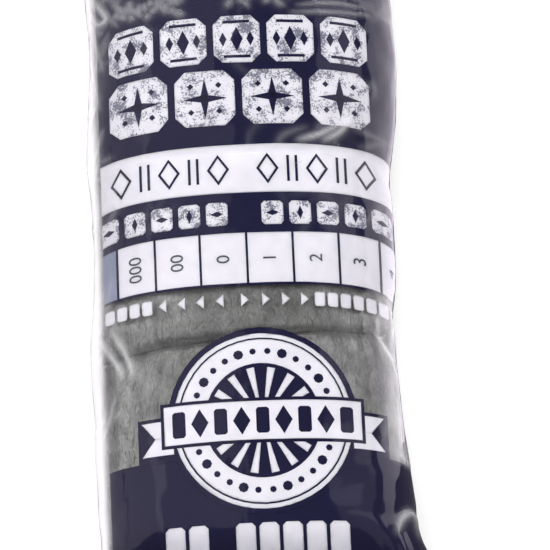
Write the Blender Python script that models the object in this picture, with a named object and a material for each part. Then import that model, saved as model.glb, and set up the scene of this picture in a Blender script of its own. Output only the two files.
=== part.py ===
"""A sealed film bag of steel wool pads, lying on its back with the printed side up.

+X runs across the front, +Y towards the bag's top end, +Z up out of the front; metres.
The origin is on the surface that the bag lies on, under the middle of the pack.
"""

import math

import bmesh
import bpy

# The pads: ribbons of steel wool, each rolled up across the pack and pressed flat
ROWS = 4
LAYERS = 4
PAD_LENGTH = 0.1016  # along the roll, which lies across the pack
PAD_WIDTH = 0.0637  # along the pack
PAD_THICKNESS = 0.0176  # in the middle of the pad, where the bag squeezes it least
PAD_EDGE_POWER = 4.5  # how square the long rounded edges of a pad are
PAD_END_SHARE = 0.80  # height and width of a pad's end face against its full section
PAD_END_ROUND = 0.0070  # how far in from the end face the rounding starts
PAD_END_TURN = 0.25  # where on the rounding its middle ring is, from the end face
PAD_END_SWELL = 0.03  # how much fuller that ring is than a straight chamfer
TURNS = 3  # grooves and ridges that the roll shows on an end face
TURN_DEPTH = 0.0014
PAD_CLEARANCE = 0.0003  # between neighbouring pads, and under the lowest ones

# The bag: one seamless film tube, sealed flat across both ends
FILM = 0.0004
SIDE_CLEARANCE = 0.0018  # from a pad's end face to the film beside it
TOP_CLEARANCE = 0.0009
WAIST_HEIGHT = 0.0300  # height at which the pack is widest
CROWN_POWER = 2.4  # how square the section is above the waist
BACK_POWER = 5.0  # how square it is below the waist
BACK_FLAT_CUT = 0.0015  # what the table flattens off the back
ROW_DIP = 0.0016  # how far the front sinks in between two rows of pads
ROW_NOTCH = 0.0014  # how far each side does
ROW_DIP_POWER = 6.0
SHOULDER = 0.0030  # how far before the end of the pads the film starts to close
END_LENGTH = 0.0400
END_ROUND_POWER = 2.2  # how full the closing end of the bag is
END_SPREAD_POWER = 1.2  # how soon it starts to widen towards the seal
CAVITY_SHARE = 0.85  # how far along the closing end the two films stay apart
SEAL_LENGTH = 0.0100
SEAL_HALF_WIDTH = 0.0640
SEAL_SHIFT = 0.0070  # each seal sits off the middle, the upper one to the left
SEAL_HEIGHT = 0.0220
SEAL_THICKNESS = 0.0012
SEAL_POWER = 8.0
GATHERS = 8  # soft pleats round each closing end
GATHER_SHARE = 0.10
VENT_RADIUS = 0.0025
VENT_FROM_MIDDLE = 0.1100  # the vent is punched in the back, near the top end

# The print's fields on the front, by the place along the pack where each one ends
PRINT_HALF_WIDTH = 0.0485
UPPER_FIELD_END = 0.0021
WHITE_BAND_END = -0.0151
LOWER_BAND_END = -0.0292
SCALE_BOXES_END = -0.0472
WINDOW_END = -0.1056

# How finely the surfaces are divided
BAG_SIDES = 32
PAD_SIDES = 14
ROW_STATIONS = (-0.85, -0.6, 0.0, 0.6, 0.85)
END_STATIONS = (0.2, 0.4, 0.6, 0.78, 0.92)
PAD_STATIONS = (0.0, 0.55)
VENT_SIDES = 16
CUTTER_REACH = 0.005
SHARP_ANGLE = 50

# Colours
NAVY = (0.030, 0.026, 0.080, 1.0)
WHITE = (0.80, 0.81, 0.84, 1.0)
CLEAR = (0.62, 0.63, 0.66, 1.0)
WOOL = (0.27, 0.27, 0.25, 1.0)

ROW_PITCH = PAD_WIDTH + PAD_CLEARANCE
STACK_HALF_LENGTH = ROWS * ROW_PITCH / 2
STACK_BOTTOM = FILM + PAD_CLEARANCE
STACK_TOP = STACK_BOTTOM + LAYERS * (PAD_THICKNESS + PAD_CLEARANCE)
BAG_HALF_WIDTH = PAD_LENGTH / 2 + SIDE_CLEARANCE + FILM
BAG_HEIGHT = STACK_TOP + TOP_CLEARANCE + FILM
END_START = STACK_HALF_LENGTH - SHOULDER
SEAL_START = END_START + END_LENGTH
BAG_HALF_LENGTH = SEAL_START + SEAL_LENGTH


def material(name, colour, roughness, metallic=0.0):
    """A plain Principled material."""
    made = bpy.data.materials.new(name)
    made.use_nodes = True
    shader = made.node_tree.nodes["Principled BSDF"]
    shader.inputs["Base Color"].default_value = colour
    shader.inputs["Roughness"].default_value = roughness
    shader.inputs["Metallic"].default_value = metallic
    made.diffuse_color = colour
    return made


def add_object(name, bm, materials):
    """Turns a bmesh into an object with smooth faces and its materials."""
    mesh = bpy.data.meshes.new(name)
    bm.to_mesh(mesh)
    bm.free()
    for one in materials:
        mesh.materials.append(one)
    mesh.shade_smooth()
    mesh.set_sharp_from_angle(angle=math.radians(SHARP_ANGLE))
    made = bpy.data.objects.new(name, mesh)
    bpy.context.scene.collection.objects.link(made)
    return made


def add_ring(bm, points):
    """One closed loop of vertices and edges."""
    verts = [bm.verts.new(p) for p in points]
    return [bm.edges.new((verts[i], verts[i - 1])) for i in range(len(verts))]


def skin(bm, rings):
    """Bridges each ring of points to the next and closes both ends."""
    loops = [add_ring(bm, points) for points in rings]
    for first, second in zip(loops, loops[1:]):
        bmesh.ops.bridge_loops(bm, edges=first + second)
    for loop in (loops[0], loops[-1]):
        bmesh.ops.contextual_create(bm, geom=loop)
    bmesh.ops.recalc_face_normals(bm, faces=bm.faces)


def rounded(angle, across, up, power_across):
    """A point of a rounded-square section, for any angle round it."""
    cos, sin = math.cos(angle), math.sin(angle)
    return (
        across * math.copysign(abs(cos) ** (2 / power_across), cos),
        up * math.copysign(abs(sin) ** (2 / power_across), sin),
    )


def shoulder_height(x, half_width, rise, power):
    """How far above or below the waist a rounded section is at x."""
    share = min(abs(x) / half_width, 1.0)
    return rise * (1 - share**power) ** (1 / power)


def stack_limits(x):
    """The lowest and highest point of the whole stack of pads at x."""
    half_width = PAD_LENGTH / 2 + SIDE_CLEARANCE - ROW_NOTCH / 2
    up = shoulder_height(x, half_width, STACK_TOP - WAIST_HEIGHT, CROWN_POWER)
    down = shoulder_height(
        x, half_width, WAIST_HEIGHT - STACK_BOTTOM + BACK_FLAT_CUT, BACK_POWER
    )
    return max(WAIST_HEIGHT - down, STACK_BOTTOM), WAIST_HEIGHT + up


def pad_profile():
    """Each ring of a pad as its place along the roll and its share of the full section."""
    half = PAD_LENGTH / 2
    outer = [(half * s, 1.0) for s in PAD_STATIONS]
    outer += [
        (half - PAD_END_ROUND, 1.0),
        (half - PAD_END_TURN * PAD_END_ROUND, (1 + PAD_END_SHARE) / 2 + PAD_END_SWELL),
        (half, PAD_END_SHARE),
    ]
    step = PAD_END_SHARE / (TURNS + 1)
    for turn in range(1, TURNS + 1):
        depth = TURN_DEPTH if turn % 2 else 0.0
        outer.append((half - depth, PAD_END_SHARE - turn * step))
    return [(-x, s) for x, s in reversed(outer)] + outer[1:]


def add_pad(row, layer, wool):
    """One pad: a flat roll that fits its quarter of the stack's height."""
    middle_y = (row + 0.5) * ROW_PITCH - STACK_HALF_LENGTH
    rings = []
    for x, share in pad_profile():
        low, high = stack_limits(x)
        slab = (high - low) / LAYERS
        middle_z = low + (layer + 0.5) * slab
        ring = []
        for side in range(PAD_SIDES):
            angle = 2 * math.pi * (side + 0.5) / PAD_SIDES
            y, z = rounded(
                angle,
                share * PAD_WIDTH / 2,
                share * (slab - PAD_CLEARANCE) / 2,
                PAD_EDGE_POWER,
            )
            ring.append((x, middle_y + y, middle_z + z))
        rings.append(ring)
    bm = bmesh.new()
    skin(bm, rings)
    add_object(f"pad_row{row + 1}_layer{layer + 1}", bm, [wool])


def dip_share(y):
    """How much of the dip between two rows there is at y, from 0 to 1."""
    if abs(y) > STACK_HALF_LENGTH - ROW_PITCH / 2:
        return 0.0
    place = (y + STACK_HALF_LENGTH) / ROW_PITCH
    from_middle = 2 * abs(place - math.floor(place) - 0.5)
    return from_middle**ROW_DIP_POWER


def bag_ring(y, inset):
    """The bag's section at y, drawn in by inset for the inner face of the film."""
    past = (abs(y) - END_START) / END_LENGTH
    closing = min(max(past, 0.0), 1.0)
    full = 1 - closing**END_ROUND_POWER
    spread = closing**END_SPREAD_POWER
    dip = dip_share(y)
    waist = SEAL_HEIGHT + (WAIST_HEIGHT - SEAL_HEIGHT) * full
    body_half_width = BAG_HALF_WIDTH - ROW_NOTCH * dip
    half_width = body_half_width + (SEAL_HALF_WIDTH - body_half_width) * spread - inset
    least = SEAL_THICKNESS / 2
    rise = BAG_HEIGHT - ROW_DIP * dip - WAIST_HEIGHT
    up = max(rise * full, least) - inset
    flat = closing >= 1
    floor = 0.0 if flat else inset
    down = max((WAIST_HEIGHT + BACK_FLAT_CUT) * full, least) - inset
    shift = -math.copysign(SEAL_SHIFT * spread, y)
    ring = []
    for side in range(BAG_SIDES):
        angle = 2 * math.pi * side / BAG_SIDES
        above = math.sin(angle) > 0
        power = SEAL_POWER if flat else CROWN_POWER if above else BACK_POWER
        swell = GATHER_SHARE * closing * math.sin(math.pi * closing)
        pleat = 1 + swell * (1 + math.cos(GATHERS * angle)) / 2
        x, z = rounded(angle, half_width, (up if above else down) * pleat, power)
        ring.append((x + shift, y, max(waist + z, floor)))
    return ring


def bag_stations():
    """Places along the bag where it gets a section, from the middle of one row to the next."""
    places = set()
    for row in range(ROWS):
        middle = (row + 0.5) * ROW_PITCH - STACK_HALF_LENGTH
        places.update(middle + s * ROW_PITCH / 2 for s in ROW_STATIONS)
    places.update(row * ROW_PITCH - STACK_HALF_LENGTH for row in range(1, ROWS))
    places = {y for y in places if abs(y) < END_START - SHOULDER}
    places.update((-END_START, END_START))
    for share in END_STATIONS:
        places.update((-END_START - share * END_LENGTH, END_START + share * END_LENGTH))
    return sorted(places)


def print_borders():
    return [UPPER_FIELD_END, WHITE_BAND_END, LOWER_BAND_END, SCALE_BOXES_END, WINDOW_END]


def print_field(centre):
    """Which of the bag's materials a face has: 0 clear, 1 navy, 2 white."""
    if abs(centre.x) > PRINT_HALF_WIDTH or centre.z < WAIST_HEIGHT:
        return 0
    if UPPER_FIELD_END < centre.y < END_START:
        return 1
    if WHITE_BAND_END < centre.y <= UPPER_FIELD_END:
        return 2
    if LOWER_BAND_END < centre.y <= WHITE_BAND_END:
        return 1
    if SCALE_BOXES_END < centre.y <= LOWER_BAND_END:
        return 2
    return 1 if -END_START < centre.y <= WINDOW_END else 0


def add_bag(film, navy, white):
    """The bag's outer face, its hollow, and the vent that joins the two."""
    inner = bag_stations()
    outer = sorted(inner + print_borders() + [-SEAL_START, SEAL_START])
    outer = [-BAG_HALF_LENGTH] + outer + [BAG_HALF_LENGTH]
    bm = bmesh.new()
    skin(bm, [bag_ring(y, 0.0) for y in outer])
    for face in bm.faces:
        face.material_index = print_field(face.calc_center_median())
    outside = set(bm.faces)
    hollow = bmesh.new()
    reach = END_START + CAVITY_SHARE * END_LENGTH + FILM
    skin(hollow, [bag_ring(y, FILM) for y in inner if abs(y) < reach])
    bmesh.ops.reverse_faces(hollow, faces=hollow.faces)
    carrier = bpy.data.meshes.new("hollow")
    hollow.to_mesh(carrier)
    hollow.free()
    bm.from_mesh(carrier)
    bpy.data.meshes.remove(carrier)
    for face in set(bm.faces) - outside:
        face.material_index = 0
    bag = add_object("film_bag", bm, [film, navy, white])

    punch = bmesh.new()
    bmesh.ops.create_cone(
        punch,
        cap_ends=True,
        segments=VENT_SIDES,
        radius1=VENT_RADIUS,
        radius2=VENT_RADIUS,
        depth=2 * CUTTER_REACH,
    )
    bmesh.ops.translate(punch, verts=punch.verts, vec=(0, VENT_FROM_MIDDLE, 0))
    cutter = add_object("vent_punch", punch, [film])
    cutter.hide_render = True
    cutter.display_type = "WIRE"
    cut = bag.modifiers.new("vent", "BOOLEAN")
    cut.operation = "DIFFERENCE"
    cut.object = cutter
    cut.solver = "EXACT"


for old in list(bpy.data.objects):
    bpy.data.objects.remove(old, do_unlink=True)

add_bag(
    material("clear_film", CLEAR, 0.15),
    material("navy_print", NAVY, 0.25),
    material("white_print", WHITE, 0.35),
)
steel_wool = material("steel_wool", WOOL, 0.55, 0.6)
for pad_row in range(ROWS):
    for pad_layer in range(LAYERS):
        add_pad(pad_row, pad_layer, steel_wool)
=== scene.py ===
"""A sealed film bag of steel wool pads, on its back on a pale floor, seen from above its lower end."""
import math

import bpy
import numpy as np
from mathutils import Matrix, Vector


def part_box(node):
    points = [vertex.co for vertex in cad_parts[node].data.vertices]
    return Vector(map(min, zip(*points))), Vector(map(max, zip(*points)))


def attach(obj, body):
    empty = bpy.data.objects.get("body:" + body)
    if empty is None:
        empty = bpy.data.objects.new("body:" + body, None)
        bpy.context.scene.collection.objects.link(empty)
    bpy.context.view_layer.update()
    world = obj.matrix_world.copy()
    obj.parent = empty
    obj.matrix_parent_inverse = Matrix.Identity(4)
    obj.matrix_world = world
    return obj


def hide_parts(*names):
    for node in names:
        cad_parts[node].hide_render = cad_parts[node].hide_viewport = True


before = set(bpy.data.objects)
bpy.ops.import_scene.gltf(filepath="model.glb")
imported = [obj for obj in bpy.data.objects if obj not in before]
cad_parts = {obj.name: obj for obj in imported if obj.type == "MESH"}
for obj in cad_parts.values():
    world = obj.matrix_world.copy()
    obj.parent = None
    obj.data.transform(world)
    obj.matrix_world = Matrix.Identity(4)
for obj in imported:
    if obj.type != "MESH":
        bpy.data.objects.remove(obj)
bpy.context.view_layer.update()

# Wool pads
# Each pad is a ribbon of fine steel wool, rolled up across the pack and pressed flat.
# The roll's turns show as a spiral at its two ends, and loose fibres lie on every side.
WOOL_VOXEL = 0.0014
MERGE_DISTANCE = 0.00001
SOFTENING_PASSES = 2
LUMP_SIZE = 0.011
LUMP_DEPTH = 0.0008
NAP_SIZE = 0.0022
NAP_DEPTH = 0.0005
ROLL_TURNS = 3.2
ROLL_GROOVE = 0.0016
ROLL_REACH = 0.0050
GROOVE_SHARE = 0.17
GROOVED_FACE = 0.97
ROW_PITCH = 0.064
ROW_LEAN = 0.06
EDGE_SWELL = 0.38
EDGE_SWELL_POWER = 5
ROW_STRETCH = 1.045
STRIP_WIDTH = 0.002
BAG_HALF_WIDTH = 0.0530
SIDE_GAP = 0.0016
SIDE_EASING = 0.006
PAD_LOWEST = 0.0022
# Place along the pack, and how far its right and left sides stand out there
SIDE_FORM = (
    (-0.175, 0.0000, 0.0000),
    (-0.150, 0.0032, -0.0010),
    (-0.132, 0.0012, 0.0002),
    (-0.116, 0.0012, 0.0012),
    (-0.094, -0.0010, 0.0013),
    (-0.078, -0.0018, 0.0015),
    (-0.062, -0.0028, 0.0026),
    (-0.050, -0.0038, 0.0012),
    (-0.038, -0.0012, 0.0001),
    (-0.020, -0.0006, -0.0002),
    (-0.001, -0.0023, 0.0006),
    (0.011, 0.0002, 0.0015),
    (0.026, 0.0025, 0.0002),
    (0.045, 0.0028, -0.0010),
    (0.066, 0.0016, 0.0000),
    (0.080, 0.0020, 0.0010),
    (0.175, 0.0000, 0.0000),
)
FIBRES_PER_PAD = 1500
FIBRE_RADIUS = 0.00007
FIBRE_SHORTEST, FIBRE_LONGEST = 0.004, 0.011
FIBRE_STRAY = 0.45
FIBRE_BEND = 0.22
FIBRE_LIFT = 0.0002
FIBRE_DIVE = 0.0011
FIBRE_LOWEST = 0.001
FIBRE_STEPS = 6
FIBRE_CORNERS = 3
FIBRE_TIP = 0.4
# Past this reach from the pack's middle, where the pads turn away, fibres are shorter
FIBRE_REACH = 0.042
SHORTER = 0.4
# The darkest wool colour is partly the wool's own tone and partly painted shade of the hollows between
# its fibres
WOOL_DARK_AND_SHADE = (0.27, 0.27, 0.255, 1)
WOOL_MIDDLE = (0.53, 0.53, 0.505, 1)
WOOL_LIGHT = (0.85, 0.85, 0.82, 1)
DARKEST_AT, MIDDLE_AT, LIGHTEST_AT = 0.36, 0.50, 0.64
WOOL_ROUGHNESS = 0.36
WOOL_METALLIC = 0.78


def only(*pieces):
    """Selects these pieces and nothing else, the first one active."""
    bpy.ops.object.select_all(action="DESELECT")
    for piece in pieces:
        piece.select_set(True)
    bpy.context.view_layer.objects.active = pieces[0]


def finish_modifiers(piece):
    only(piece)
    for name in [m.name for m in piece.modifiers]:
        bpy.ops.object.modifier_apply(modifier=name)


def points_of(mesh):
    """The places of a mesh's vertices as an array of rows."""
    flat = np.empty(len(mesh.vertices) * 3)
    mesh.vertices.foreach_get("co", flat)
    return flat.reshape(-1, 3)


def node(tree, kind, place, **values):
    """Adds a shader node, with its settings and the values of its unlinked sockets."""
    made = tree.nodes.new(kind)
    made.location = place
    for key, value in values.items():
        if key in made.inputs.keys():
            made.inputs[key].default_value = value
        else:
            setattr(made, key.lower(), value)
    return made


def new_material(name):
    made = bpy.data.materials.new(name)
    made.use_nodes = True
    tree = made.node_tree
    shader = tree.nodes["Principled BSDF"]
    return made, tree, shader, tree.links.new


def wool_material():
    """Matted grey fibres that run along the pack, in lighter and darker wisps; the darker wisps are
    partly painted shade of the hollows in the wool.
    """
    made, tree, shader, link = new_material("steel_wool")
    where = node(tree, "ShaderNodeTexCoord", (-1300, 0)).outputs["Object"]
    stretch = node(tree, "ShaderNodeMapping", (-1100, 150), Scale=(1.0, 0.42, 0.8))
    link(where, stretch.inputs["Vector"])
    fibre = node(tree, "ShaderNodeTexNoise", (-900, 200), Scale=900, Detail=7, Roughness=0.65)
    fibre.inputs["Distortion"].default_value = 1.6
    link(stretch.outputs[0], fibre.inputs["Vector"])
    wisp = node(tree, "ShaderNodeTexNoise", (-900, -50), Scale=150, Detail=4, Roughness=0.6)
    link(where, wisp.inputs["Vector"])
    cloud = node(tree, "ShaderNodeTexNoise", (-900, -300), Scale=38, Detail=2, Roughness=0.5)
    link(where, cloud.inputs["Vector"])
    both = node(tree, "ShaderNodeMix", (-650, 100), Factor=0.45)
    link(fibre.outputs["Fac"], both.inputs["A"])
    link(wisp.outputs["Fac"], both.inputs["B"])
    all_three = node(tree, "ShaderNodeMix", (-450, 0), Factor=0.25)
    link(both.outputs[0], all_three.inputs["A"])
    link(cloud.outputs["Fac"], all_three.inputs["B"])
    ramp = node(tree, "ShaderNodeValToRGB", (-250, 0))
    # The dark end of the ramp paints part of the wool's shade, in random patches
    ramp.color_ramp.elements[0].position = DARKEST_AT
    ramp.color_ramp.elements[0].color = WOOL_DARK_AND_SHADE
    ramp.color_ramp.elements[1].position = LIGHTEST_AT
    ramp.color_ramp.elements[1].color = WOOL_LIGHT
    middle = ramp.color_ramp.elements.new(MIDDLE_AT)
    middle.color = WOOL_MIDDLE
    link(all_three.outputs[0], ramp.inputs["Fac"])
    link(ramp.outputs["Color"], shader.inputs["Base Color"])
    bump = node(tree, "ShaderNodeBump", (-250, -300), Strength=0.7, Distance=0.0006)
    link(both.outputs[0], bump.inputs["Height"])
    link(bump.outputs[0], shader.inputs["Normal"])
    shader.inputs["Roughness"].default_value = WOOL_ROUGHNESS
    shader.inputs["Metallic"].default_value = WOOL_METALLIC
    return made


def side_form(y):
    """How far the right and left side stand out at y, eased between the given places."""
    places = [row[0] for row in SIDE_FORM]
    spread = np.asarray(y, dtype=float)[..., None] + np.linspace(-SIDE_EASING, SIDE_EASING, 9)
    return [np.interp(spread, places, [row[k] for row in SIDE_FORM]).mean(-1) for k in (1, 2)]


def row_slip(x, y):
    """How far the wool at (x, y) has slipped along the pack, as its second row lies askew."""
    along = np.clip(-np.asarray(y) / (2 * ROW_PITCH), 0, 1)
    return ROW_LEAN * x * np.sin(math.pi * along)


def roll_ends(piece, x_end):
    """Presses a spiral groove into the two end faces of a pad."""
    mesh = piece.data
    p = points_of(mesh)
    for side in (-1, 1):
        depth_in = x_end - side * p[:, 0]
        near = depth_in < ROLL_REACH
        face = p[near]
        edge = face[side * face[:, 0] > x_end - ROLL_REACH / 3]
        low, high = edge.min(0), edge.max(0)
        middle, half = (low + high) / 2, (high - low) / 2
        across = (face[:, 1] - middle[1]) / half[1]
        up = (face[:, 2] - middle[2]) / half[2]
        out = (np.abs(across) ** 3 + np.abs(up) ** 3) ** (1 / 3)
        turn = np.arctan2(up, across) / (2 * math.pi)
        phase = np.mod(out * ROLL_TURNS + turn, 1.0)
        groove = np.exp(-(((phase - 0.5) / GROOVE_SHARE) ** 2)) * (out < GROOVED_FACE)
        fade = np.clip(1 - depth_in[near] / ROLL_REACH, 0, 1)
        p[near, 0] -= side * ROLL_GROOVE * groove * fade
    mesh.vertices.foreach_set("co", p.ravel())
    mesh.update()


def fill_out(piece):
    """Lets a pad's springy wool swell into the hollows beside its neighbours, and slip askew."""
    p = points_of(piece.data)
    low, high = p.min(0), p.max(0)
    middle, half = (low + high) / 2, (high - low) / 2
    across = np.abs(p[:, 1] - middle[1]) / half[1]
    p[:, 2] += (p[:, 2] - middle_height(p)) * EDGE_SWELL * across**EDGE_SWELL_POWER
    right, left = side_form(p[:, 1])
    room = BAG_HALF_WIDTH - SIDE_GAP + np.where(p[:, 0] > 0, right, left)
    p[:, 0] *= room / half[0]
    p[:, 1] = middle[1] + (p[:, 1] - middle[1]) * ROW_STRETCH
    p[:, 1] += row_slip(p[:, 0], p[:, 1])
    p[:, 2] = np.maximum(p[:, 2], PAD_LOWEST)
    piece.data.vertices.foreach_set("co", p.ravel())
    piece.data.update()


def middle_height(p):
    """The height of a pad's middle surface at each of its points, from strips across its length."""
    strip = np.rint(p[:, 0] / STRIP_WIDTH).astype(int)
    strip -= strip.min()
    low = np.full(strip.max() + 1, np.inf)
    high = np.full(strip.max() + 1, -np.inf)
    np.minimum.at(low, strip, p[:, 2])
    np.maximum.at(high, strip, p[:, 2])
    return ((low + high) / 2)[strip]


def loose_fibres(piece, random):
    """Short curled fibres that lie on a pad, as thin three-sided wires closed at both ends."""
    mesh = piece.data
    count = len(mesh.polygons)
    centres, normals = np.empty(count * 3), np.empty(count * 3)
    mesh.polygons.foreach_get("center", centres)
    mesh.polygons.foreach_get("normal", normals)
    chosen = random.choice(count, FIBRES_PER_PAD, replace=False)
    centres, normals = centres.reshape(-1, 3)[chosen], normals.reshape(-1, 3)[chosen]
    along = np.array((0.0, 1.0, 0.0)) + random.normal(0, FIBRE_STRAY, (FIBRES_PER_PAD, 3))
    along -= normals * (along * normals).sum(1)[:, None]
    along /= np.linalg.norm(along, axis=1)[:, None]
    side = np.cross(normals, along)
    length = random.uniform(FIBRE_SHORTEST, FIBRE_LONGEST, FIBRES_PER_PAD)
    length *= np.where(np.abs(centres[:, 0]) > FIBRE_REACH, SHORTER, 1.0)
    bend = random.normal(0, FIBRE_BEND, FIBRES_PER_PAD)
    steps = np.linspace(-0.5, 0.5, FIBRE_STEPS)[:, None]
    from_middle = 4 * steps**2
    verts, faces = [], []
    for i in range(FIBRES_PER_PAD):
        run = centres[i] + steps * length[i] * along[i]
        run = run + (from_middle - 1) * bend[i] * length[i] * side[i]
        run = run + (FIBRE_LIFT - FIBRE_DIVE * from_middle) * normals[i]
        run[:, 2] = np.maximum(run[:, 2], FIBRE_LOWEST)
        start = len(verts)
        for k, place in enumerate(run):
            thin = FIBRE_RADIUS * (FIBRE_TIP if k in (0, FIBRE_STEPS - 1) else 1.0)
            for corner in range(FIBRE_CORNERS):
                angle = 2 * math.pi * corner / FIBRE_CORNERS
                verts.append(place + thin * (math.cos(angle) * side[i] + math.sin(angle) * normals[i]))
        for k in range(FIBRE_STEPS - 1):
            for corner in range(FIBRE_CORNERS):
                a = start + FIBRE_CORNERS * k + corner
                b = start + FIBRE_CORNERS * k + (corner + 1) % FIBRE_CORNERS
                faces.append((a, b, b + FIBRE_CORNERS, a + FIBRE_CORNERS))
        end = len(verts)
        faces.append((start + 2, start + 1, start))
        faces.append((end - 3, end - 2, end - 1))
    wires = bpy.data.meshes.new("fibres")
    wires.from_pydata([tuple(v) for v in verts], [], faces)
    return wires


def make_pad(name, random):
    """Builds a pad's matted surface over its pressed outer shape."""
    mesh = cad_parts[name].data.copy()
    piece = bpy.data.objects.new(f"wool_{name}", mesh)
    bpy.context.scene.collection.objects.link(piece)
    only(piece)
    bpy.ops.object.mode_set(mode="EDIT")
    bpy.ops.mesh.select_all(action="SELECT")
    bpy.ops.mesh.remove_doubles(threshold=MERGE_DISTANCE)
    bpy.ops.object.mode_set(mode="OBJECT")
    fine = piece.modifiers.new("fine", "REMESH")
    fine.mode = "VOXEL"
    fine.voxel_size = WOOL_VOXEL * 1.0
    soft = piece.modifiers.new("soft", "SMOOTH")
    soft.factor = 0.5
    soft.iterations = SOFTENING_PASSES
    finish_modifiers(piece)
    roll_ends(piece, float(points_of(piece.data)[:, 0].max()))
    fill_out(piece)
    for label, size, depth in (("lumps", LUMP_SIZE, LUMP_DEPTH), ("nap", NAP_SIZE, NAP_DEPTH)):
        clouds = bpy.data.textures.get(label) or bpy.data.textures.new(label, "CLOUDS")
        clouds.noise_scale = size
        press = piece.modifiers.new(label, "DISPLACE")
        press.texture = clouds
        press.texture_coords = "GLOBAL"
        press.mid_level = 0.0
        press.strength = -depth
    finish_modifiers(piece)
    wires = bpy.data.objects.new("fibres", loose_fibres(piece, random))
    bpy.context.scene.collection.objects.link(wires)
    only(piece, wires)
    bpy.ops.object.join()
    piece.data.materials.clear()
    piece.data.materials.append(steel_wool)
    for face in piece.data.polygons:
        face.material_index = 0
    piece.data.shade_smooth()
    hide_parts(name)
    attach(piece, "root")
    return piece


steel_wool = wool_material()
wool_random = np.random.default_rng(11)
for pad_name in sorted(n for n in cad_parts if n.startswith("pad_")):
    make_pad(pad_name, wool_random)

# Film bag
# One seamless tube of clear film is drawn over the stack of pads and heat-sealed flat
# across both ends; it sinks in between the rows and gathers where it closes.

# Each column or row of vertices, and the share of the film's width or the place it reaches
COLUMN_KNOTS = ((0, 0.0), (33, 0.23), (227, 0.77), (260, 1.0))
ROW_KNOTS = ((0, -0.175), (14, -0.165), (34, -0.141), (304, 0.075), (346, 0.165), (360, 0.175))
AROUND = COLUMN_KNOTS[-1][0]
ALONG = ROW_KNOTS[-1][0]
BAG_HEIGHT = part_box("film_bag")[1].z
WAIST_HEIGHT = 0.030
ROUND_POINTS = 1440
CROWN_POWER = 2.4
BACK_POWER = 5.0
BACK_FLAT_CUT = 0.0015
ROW_DIP = 0.0015
ROW_DIP_POWER = 6.0
END_START = 0.125
END_LENGTH = 0.040
END_ROUND_POWER = 2.2
END_SPREAD_POWER = 1.2
SEAL_HALF_WIDTH = 0.064
SEAL_SHIFT = 0.007
SEAL_HEIGHT = 0.022
SEAL_HALF_THICKNESS = 0.0005
CRIMP_PITCH = 0.0028
CRIMP_DEPTH = 0.00022
CRIMP_EASING = 0.001
SEAL_LEAD = 0.002
SEAL_EASING = 0.003
GATHER_PITCH = 0.0062
GATHER_DEPTH = 0.0011
GATHER_LEAD = 0.012
SLACK_DEPTH = 0.00020
RIPPLE_DEPTH = 0.00004
# How many waves, the shortest and the longest
GATHER_WAVES = (4, 0.030, 0.080)
SLACK_WAVES = (9, 0.018, 0.045)
RIPPLE_WAVES = (10, 0.006, 0.014)
FILM_TINT = (0.93, 0.935, 0.945, 1)
FILM_EDGE_TINT = (0.89, 0.89, 0.91, 1)
# The milk's faint pink is painted light, the tint of the glare on the film
MILK_AND_PAINTED_LIGHT_COLOUR = (0.94, 0.925, 0.95, 1)
GLOSS_TINT = (0.95, 0.88, 0.98, 1)
CREASE_STEPS = 40
SHARP_HEIGHT, SHARP_WIDTH = 0.00080, 0.0011
FINE_HEIGHT, FINE_WIDTH = 0.00045, 0.0008
CRINKLE_WIDTH = 0.0012
CRINKLE_TURN = 0.8
CRINKLE_BOW = 0.12
SHORTEST_SHARE = 0.3
CREASED_DEPTH = 0.012
# Creases that follow given points on the bag, across and along it
SHARP_CREASES = (
    ((-0.0471, -0.0560), (-0.0440, -0.0614), (-0.0410, -0.0675), (-0.0394, -0.0728), (-0.0402, -0.0761)),
    ((-0.0500, -0.0592), (-0.0467, -0.0657), (-0.0436, -0.0716), (-0.0426, -0.0751)),
    ((0.0424, -0.0614), (0.0452, -0.0663), (0.0482, -0.0706), (0.0495, -0.0746)),
    ((0.0193, 0.0032), (0.0273, 0.0058), (0.0368, 0.0112)),
    ((0.0278, 0.0033), (0.0335, 0.0067), (0.0386, 0.0126)),
    ((0.0466, -0.1310), (0.0486, -0.1260), (0.0520, -0.1225), (0.0540, -0.1245), (0.0545, -0.1304)),
    ((-0.0498, 0.0647), (-0.0465, 0.0594), (-0.0444, 0.0543), (-0.0478, 0.0543), (-0.0505, 0.0605)),
)
FINE_CREASES = (
    ((0.0479, -0.0496), (0.0486, -0.0564), (0.0477, -0.0655)),
    ((0.0212, 0.0515), (0.0330, 0.0529), (0.0462, 0.0533)),
    ((0.0190, 0.0489), (0.0328, 0.0496), (0.0475, 0.0510)),
    ((-0.0501, 0.0575), (-0.0485, 0.0470), (-0.0462, 0.0357)),
    ((-0.0515, 0.0458), (-0.0497, 0.0333), (-0.0478, 0.0221)),
    ((-0.0476, 0.0278), (-0.0506, 0.0213), (-0.0520, 0.0161)),
    ((-0.0508, 0.0530), (-0.0480, 0.0440), (-0.0490, 0.0380)),
    ((-0.0470, 0.0150), (-0.0492, 0.0080), (-0.0512, 0.0035)),
    ((-0.0455, -0.0800), (-0.0480, -0.0880), (-0.0505, -0.0940)),
    ((0.0455, -0.0520), (0.0436, -0.0580), (0.0441, -0.0640)),
    ((-0.0440, -0.0500), (-0.0452, -0.0560), (-0.0478, -0.0610)),
)
# Where the film is crinkled at random: middle, reach, how many, the longest one, their height
CRINKLED = (
    ((-0.0290, 0.0535), (0.0110, 0.0030), 40, 0.005, 0.00045),
    ((0.0100, 0.0550), (0.0120, 0.0025), 24, 0.005, 0.00040),
    ((-0.0450, 0.0580), (0.0050, 0.0070), 14, 0.007, 0.00030),
    ((-0.0490, -0.0200), (0.0030, 0.0800), 26, 0.018, 0.00022),
    ((0.0470, -0.0250), (0.0030, 0.0900), 18, 0.016, 0.00016),
    ((0.0280, 0.0100), (0.0120, 0.0060), 3, 0.016, 0.00020),
    ((0.0000, 0.0000), (0.0450, 0.0600), 14, 0.022, 0.00007),
)
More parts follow.
